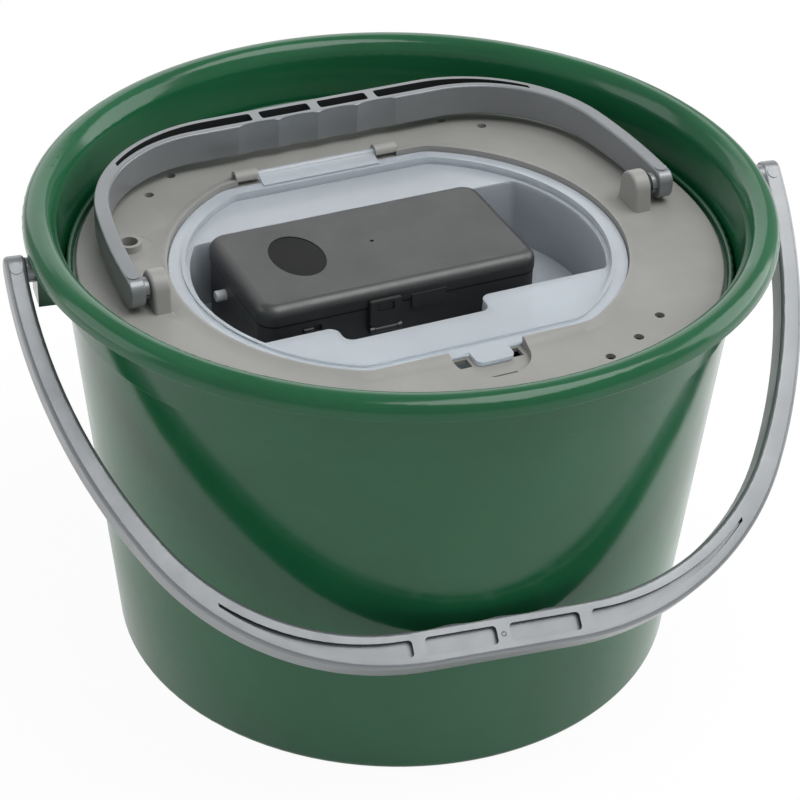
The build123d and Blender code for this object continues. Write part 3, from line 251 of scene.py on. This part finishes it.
# %% [markdown]
# ## Metals
# Only the pump holds metal: the motor's can, its shaft, screws, springs and contact strips. Metal shows its
# finish in how it spreads reflections, so the grain that rolling and turning leave goes into the roughness
# and into a shallow bump, stretched along the way that the tool moved.

# %% Metals
def metal(name, colour, shade, roughness, stretch=(1, 1, 1), brushed=0.000004):
    """Principled metal with a stretched noise in its roughness and its slope."""
    material, tree, shader = start_material(name)
    grain = noise(tree, 260.0, 3.0, 0.6, stretch)
    tree.links.new(colour_between(tree, noise(tree, 45.0), colour, shade), shader.inputs["Base Color"])
    tree.links.new(between(tree, grain, roughness, roughness + 0.14), shader.inputs["Roughness"])
    tree.links.new(bump(tree, grain, brushed), shader.inputs["Normal"])
    shader.inputs["Metallic"].default_value = 1.0
    return material


steel = metal("steel", (0.52, 0.52, 0.53), (0.44, 0.44, 0.45), 0.22, (1, 8, 8))
zinc = metal("zinc", (0.60, 0.61, 0.62), (0.50, 0.51, 0.53), 0.30, (8, 1, 8))
brass = metal("brass", (0.62, 0.46, 0.20), (0.54, 0.39, 0.16), 0.26, (8, 8, 1))
print("metals made")

# %% [markdown]
# ## A finish for each CAD node
# The record names the material slot of every piece, so the finishes are handed out by that name. Nothing else
# about a CAD node changes here: its place and its mesh stay as they were packed.

# %% Dress the CAD nodes
finishes = {
    "bucket_green": bucket_green, "basket_green": basket_green, "bail_grey": bail_grey,
    "lid_grey": lid_grey, "tray_clear": tray_clear, "pump_black": pump_black,
    "drive_white": drive_white, "nipple_white": nipple_white, "rubber_black": rubber_black,
    "tube_clear": tube_clear, "steel": steel, "zinc": zinc, "brass": brass, "cell_jacket": cell_jacket,
}
slot_of = {row["node"]: row["material_slot"] for row in frame["record"]["subparts"]}


def dress(node_name):
    """Gives a CAD node the finish of its slot."""
    mesh = nodes[node_name].data
    mesh.materials.clear()
    mesh.materials.append(finishes[slot_of[node_name]])


for node_name in nodes:
    dress(node_name)
print("dressed", len(nodes), "nodes")

# %% [markdown]
# ## Smooth skins for the glossy pieces
# A glossy wall shows every facet of its mesh in its highlights. The solids come as loose triangles, so the
# light breaks at each of them. For the pieces that the camera sees, a copy is made whose facets share their
# corners, and its corner normals follow the larger faces. The shape stays that of the solid.

# %% Skins
body_of = {name: body for body, names in frame["record"]["behaviour"]["bodies"].items()
           for name in names}
skin_angle = math.radians(28)


def skin(node_name):
    """Copy of a node's mesh with shared corners, smooth across edges under skin_angle."""
    source = nodes[node_name].data
    work = bmesh.new()
    work.from_mesh(source)
    bmesh.ops.remove_doubles(work, verts=work.verts, dist=2e-6)
    mesh = bpy.data.meshes.new(node_name + "_skin")
    work.to_mesh(mesh)
    work.free()
    if "custom_normal" in mesh.attributes:
        mesh.attributes.remove(mesh.attributes["custom_normal"])
    mesh.shade_smooth()
    mesh.set_sharp_from_angle(angle=skin_angle)
    mesh.materials.clear()
    mesh.materials.append(finishes[slot_of[node_name]])
    piece = bpy.data.objects.new(node_name + "_skin", mesh)
    bpy.context.scene.collection.objects.link(piece)
    weighted = piece.modifiers.new("weighted", "WEIGHTED_NORMAL")
    weighted.keep_sharp = True
    weighted.weight = 80
    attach(piece, body_of[node_name])
    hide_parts(node_name)
    return piece


skins = {}
for node_name in ("outer_bucket", "strainer_basket", "lid", "pump_cover", "pump_case", "outer_bail",
                  "lid_bail"):
    skins[node_name] = skin(node_name)
    print(node_name, "has a skin of", len(skins[node_name].data.polygons), "faces")

# %% [markdown]
# ## Painted shade in the bails' pockets
# The walls of the pockets in both bails lie in shade and show as dark outlines; that shade is painted into the
# bail's colour. A texture could paint it, but the walls already are faces of their own: those that stand upright
# under the bail's front face and reach just to the pocket's floor. They get a number on the mesh, and the
# bail's finish reads it to paint them darker, the small bail's pocket floors a little less. Each bail turns about
# the line of its joint, and its front face leans back by the angle at which the bail lies at rest.

# %% Pockets
def mark_pocket_shade(piece, origin, facing, front, depth, floor_shade_share):
    """Face attribute of painted shade: 1 on pocket walls and a given share on floors, by d = front - (p - origin)
    . facing.
    """
    mesh = piece.data
    corners = np.empty(3 * len(mesh.vertices))
    mesh.vertices.foreach_get("co", corners)
    under = front - (corners.reshape(-1, 3) - np.array(origin)) @ np.array(facing)
    triangles = np.empty(3 * len(mesh.polygons), dtype=np.int64)
    mesh.polygons.foreach_get("vertices", triangles)
    normals = np.empty(3 * len(mesh.polygons))
    mesh.polygons.foreach_get("normal", normals)
    lowest = under[triangles.reshape(-1, 3)].max(axis=1)
    upright = abs(normals.reshape(-1, 3) @ np.array(facing))
    reaches = abs(lowest - depth) < 0.0002
    # Painted shade: pocket walls take the full share and floors a part of it; the bail's finish darkens these
    # faces by it.
    share = np.where(reaches & (upright < 0.3), 1.0, np.where(reaches & (upright > 0.95), floor_shade_share, 0.0))
    mesh.attributes.new("pocket", "FLOAT", "FACE").data.foreach_set("value", share.astype(np.float32))
    print(piece.name, "has", int((share == 1).sum()), "pocket wall faces")


def front_way(along, lean):
    """Unit vector across a bail's front face: up, leaned by an angle about its pivot line."""
    up = np.array([0.0, 0.0, 1.0])
    return math.cos(lean) * up - math.sin(lean) * np.cross(up, along)


joint_of = {joint["name"]: joint for joint in frame["joints"]}
outer_origin = np.array(joint_of["carry_bail_swing"]["pos_m"])
outer_along = -np.array(joint_of["carry_bail_swing"]["axis"])
outer_along /= np.linalg.norm(outer_along)
outer_facing = front_way(outer_along, math.radians(38.0))
outer_front, outer_pocket_depth = 0.0040, 0.0030
mark_pocket_shade(skins["outer_bail"], outer_origin, outer_facing, outer_front, outer_pocket_depth, 0.0)

small_origin = np.array(joint_of["lid_bail_swing"]["pos_m"])
small_facing = front_way(np.array(joint_of["lid_bail_swing"]["axis"]), math.radians(2.3))
small_front, small_pocket_depth = 0.0070, 0.0080
mark_pocket_shade(skins["lid_bail"], small_origin, small_facing, small_front, small_pocket_depth, 0.7)

# %% [markdown]
# ## Surfaces from two parameters
# Some marks of the mould are too small to be worth a solid, but the camera sees them. Each is a thin piece of
# its own that rides with its body. Its points are worked out at once for a whole grid of two parameters, and
# neighbours on the grid become the corners of a face. A grid that ends in a small ring has that ring closed.

# %% Grid pieces
def grid_piece(name, rows, material, body, around=True):
    """Piece from points[row, column]: quads between neighbours; columns close, rows close if around."""
    count, across = rows.shape[:2]
    index = np.arange(count * across).reshape(count, across)
    below = np.roll(index, -1, axis=0) if around else index[1:]
    index = index if around else index[:-1]
    faces = np.stack([index, np.roll(index, -1, axis=1), np.roll(below, -1, axis=1), below], -1)
    faces = faces.reshape(-1, 4).tolist()
    if not around:
        faces.append(below[-1].tolist())
    mesh = bpy.data.meshes.new(name)
    mesh.from_pydata(rows.reshape(-1, 3).tolist(), [], faces)
    mesh.shade_smooth()
    mesh.materials.append(material)
    piece = bpy.data.objects.new(name, mesh)
    bpy.context.scene.collection.objects.link(piece)
    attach(piece, body)
    print(name, "has", len(mesh.polygons), "faces")


# %% [markdown]
# ## Parting line and witness ring
# The two halves of the bucket's mould meet on the rolled rim and leave a fine raised line there. Its height
# is read from the solid's own corners, so that it sits on the roll at its radius. The slide that forms the
# hose port leaves a faint raised ring round it on the lid. Both are beads of half a millimetre or less.

# %% Beads
def ring_bead(centre, radius, height, half_width, rise, turns=360, around=12):
    """Bead round a circle: (R + w cos v) at angle u, and height + rise sin v, for v round the section."""
    u = np.linspace(0, 2 * np.pi, turns, endpoint=False)[:, None]
    v = np.linspace(0, -2 * np.pi, around, endpoint=False)[None, :]
    reach = radius + half_width * np.cos(v)
    return np.stack([centre[0] + reach * np.cos(u), centre[1] + reach * np.sin(u),
                     height + rise * np.sin(v) + 0 * u], -1)


def profile_height(node_name, radius, lowest):
    """Height of a round node's surface at a radius, read between its rings of corners above lowest."""
    mesh = nodes[node_name].data
    corners = np.empty(3 * len(mesh.vertices))
    mesh.vertices.foreach_get("co", corners)
    corners = corners.reshape(-1, 3)
    reach = np.hypot(corners[:, 0], corners[:, 1])
    near = (corners[:, 2] > lowest) & (abs(reach - radius) < 0.002)
    order = np.argsort(reach[near])
    return float(np.interp(radius, reach[near][order], corners[near][order, 2]))


seam_radius = 0.1563
roll_bottom = 0.2150
seam_height = profile_height("outer_bucket", seam_radius, roll_bottom)
grid_piece("rim_parting_line", ring_bead((0, 0), seam_radius, seam_height, 0.00016, 0.00010),
           bucket_green, "bucket")

lid_top = 0.1915
port_place = (-0.1114, 0.0440)
witness_radius = 0.0110
grid_piece("port_witness_ring", ring_bead(port_place, witness_radius, lid_top, 0.00022, 0.00009, 120),
           lid_grey, "lid_plate")
print("parting line lies at", round(seam_height, 5), "m")

# %% [markdown]
# ## Gate mark
# The bail is filled through a point on its middle rib, and the sprue that is broken off there leaves a small
# raised ring with a dimple. Its height is a smooth bump of the radius, turned once round the face's normal.

# %% Gate mark
gate_radius = 0.0013
gate_rise = 0.00012


def gate_mark(origin, along, facing, rings=18, turns=48):
    """Ringed dimple: height h(s) = rise (exp(-4 (3 s - 2)^2) - 0.2 s^4) over the radius share s."""
    s = np.linspace(1.0, 0.02, rings)[:, None]
    t = np.linspace(0, 2 * np.pi, turns, endpoint=False)[None, :]
    side = np.cross(facing, along)
    height = gate_rise * (np.exp(-4 * (3 * s - 2) ** 2) - 0.2 * s ** 4) + 0 * t
    reach = gate_radius * s
    return (np.array(origin) + (reach * np.cos(t))[..., None] * along
            + (reach * np.sin(t))[..., None] * side + height[..., None] * facing)


grip_reach = 0.18933
gate_stand = outer_front + 0.00005
gate_place = outer_origin + grip_reach * np.cross(outer_along, outer_facing) + gate_stand * outer_facing
grid_piece("bail_gate_mark", gate_mark(gate_place, outer_along, outer_facing), bail_grey,
           "carry_bail", around=False)
print("gate mark is at", np.round(gate_place, 4))

# %% [markdown]
# ## The bare field on the pump
# The pump's cover has a sunk oval for a badge. It is darker than the cover around it, because its surface is
# finer. It stays bare here. The field is a very flat cap, set just above the floor of the sunk oval.

# %% Badge field
def oval_field(centre, radii, height, dome, rings=14, turns=96):
    """Oval cap: (a s cos t, b s sin t) and height + dome (1 - s^2), for s from 1 to 0 and t round."""
    s = np.linspace(1.0, 0.004, rings)[:, None]
    t = np.linspace(0, 2 * np.pi, turns, endpoint=False)[None, :]
    return np.stack([centre[0] + radii[0] * s * np.cos(t), centre[1] + radii[1] * s * np.sin(t),
                     height + dome * (1 - s ** 2) + 0 * t], -1)


badge_place = (-0.0475, 0.0048)
badge_radii = (0.01195, 0.01745)
badge_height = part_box("pump_cover")[1][2] - 0.00028
badge_dome = 0.00016
grid_piece("badge_field", oval_field(badge_place, badge_radii, badge_height, badge_dome), badge_black,
           "cover", around=False)
print("badge field lies", round(1000 * badge_height, 2), "mm up")

# %% [markdown]
# ## The studio
# The photograph was made in a white studio: the ground is pure white with almost no shadow, and the glossy
# wall of the bucket shows pale strips at both sides and a dark arch, which is the bail's mirror image. The
# floor is therefore mostly white to the camera and in reflections, and keeps a faint shadow. Large soft lamps
# left, right and above give the strips.

# %% Floor and world
def seen_share(tree, to_camera, to_mirrors):
    """to_camera for camera rays, to_mirrors for glossy and transmission rays, 0 for rays that carry light."""
    path = add_node(tree, "ShaderNodeLightPath")
    total = None
    for output, share in (("Is Camera Ray", to_camera), ("Is Glossy Ray", to_mirrors),
                          ("Is Transmission Ray", to_mirrors)):
        scaled = add_node(tree, "ShaderNodeMath", operation="MULTIPLY")
        tree.links.new(path.outputs[output], scaled.inputs[0])
        scaled.inputs[1].default_value = share
        if total is not None:
            larger = add_node(tree, "ShaderNodeMath", operation="MAXIMUM")
            tree.links.new(total, larger.inputs[0])
            tree.links.new(scaled.outputs["Value"], larger.inputs[1])
            scaled = larger
        total = scaled.outputs["Value"]
    return total


floor_rings = np.array([0.2, 0.5, 1.2, 3.0, 8.0])
floor_turns = 96
floor_height = -0.0006


def floor_mesh():
    """A disc of rings round the origin: (r cos t, r sin t) at one height, with a fan in the middle."""
    turns = np.linspace(0, 2 * np.pi, floor_turns, endpoint=False)
    radius, turn = np.meshgrid(floor_rings, turns, indexing="ij")
    points = np.stack([radius * np.cos(turn), radius * np.sin(turn), floor_height + 0 * radius], -1)
    points = np.concatenate([[[0, 0, floor_height]], points.reshape(-1, 3)])
    ring = 1 + np.arange(radius.size).reshape(radius.shape)
    beside = np.roll(ring, -1, axis=1)
    fan = np.stack([0 * ring[0], ring[0], beside[0]], -1)
    bands = np.stack([ring[:-1], ring[1:], beside[1:], beside[:-1]], -1).reshape(-1, 4)
    mesh = bpy.data.meshes.new("floor")
    mesh.from_pydata(points.tolist(), [], fan.tolist() + bands.tolist())
    return mesh


def soft_floor():
    """The floor piece: white to the camera and in reflections, diffuse to the rest."""
    mesh = floor_mesh()
    floor = bpy.data.objects.new("floor", mesh)
    bpy.context.scene.collection.objects.link(floor)
    material, tree, shader = start_material("floor_white")
    shader.inputs["Roughness"].default_value = 0.9
    shader.inputs["Specular IOR Level"].default_value = 0.1
    tree.links.new(colour_between(tree, noise(tree, 3.0), (0.86, 0.86, 0.86), (0.88, 0.88, 0.88)),
                   shader.inputs["Base Color"])
    white = add_node(tree, "ShaderNodeEmission", Color=(1, 1, 1, 1), Strength=1.0)
    mix = add_node(tree, "ShaderNodeMixShader")
    tree.links.new(seen_share(tree, 0.95, 0.55), mix.inputs["Fac"])
    tree.links.new(shader.outputs["BSDF"], mix.inputs[1])
    tree.links.new(white.outputs["Emission"], mix.inputs[2])
    tree.links.new(mix.outputs["Shader"], tree.nodes["Material Output"].inputs["Surface"])
    mesh.materials.append(material)


def studio_world(strength, backdrop):
    """Dim grey light from all round; white where the camera or a reflection looks at it."""
    world = bpy.data.worlds.new("studio")
    bpy.context.scene.world = world
    world.use_nodes = True
    tree = world.node_tree
    tree.nodes.clear()
    light = add_node(tree, "ShaderNodeBackground", Color=(0.98, 0.99, 1.0, 1), Strength=strength)
    white = add_node(tree, "ShaderNodeBackground", Color=(1, 1, 1, 1), Strength=backdrop)
    path = add_node(tree, "ShaderNodeLightPath")
    mix = add_node(tree, "ShaderNodeMixShader")
    out = add_node(tree, "ShaderNodeOutputWorld")
    tree.links.new(path.outputs["Is Camera Ray"], mix.inputs["Fac"])
    tree.links.new(light.outputs["Background"], mix.inputs[1])
    tree.links.new(white.outputs["Background"], mix.inputs[2])
    tree.links.new(mix.outputs["Shader"], out.inputs["Surface"])


soft_floor()
studio_world(0.50, 1.0)

# %% [markdown]
# ## Lamps
# Four large soft lamps stand round the bucket. The one above and to the right is the strongest, as the lid is
# brighter towards the right in the photograph. The one at the left stands far back, so that it only grazes
# the wall. All four have a plain white colour, so every finish renders about as it is written.

# %% Lamps
def soft_lamp(name, place, aim, width, height, power, colour=(1, 1, 1)):
    """A rectangular area lamp at its place, turned to its aim."""
    data = bpy.data.lights.new(name, "AREA")
    data.shape = "RECTANGLE"
    data.size = width
    data.size_y = height
    data.energy = power
    data.color = colour
    lamp = bpy.data.objects.new(name, data)
    lamp.location = place
    lamp.rotation_euler = (Vector(aim) - Vector(place)).to_track_quat("-Z", "Y").to_euler()
    bpy.context.scene.collection.objects.link(lamp)


middle = (0, 0, 0.12)
soft_lamp("lamp_left", (-1.6, 0.7, 0.6), middle, 1.0, 1.4, 6.0)
soft_lamp("lamp_right", (1.7, -0.1, 0.8), middle, 1.2, 1.5, 14.0)
soft_lamp("lamp_above", (0.5, -0.5, 1.9), middle, 1.6, 1.2, 24.0)
soft_lamp("lamp_back", (0.3, 1.9, 0.9), middle, 2.2, 1.2, 9.0)
bpy.context.scene.view_settings.view_transform = "Standard"
print("studio is set")
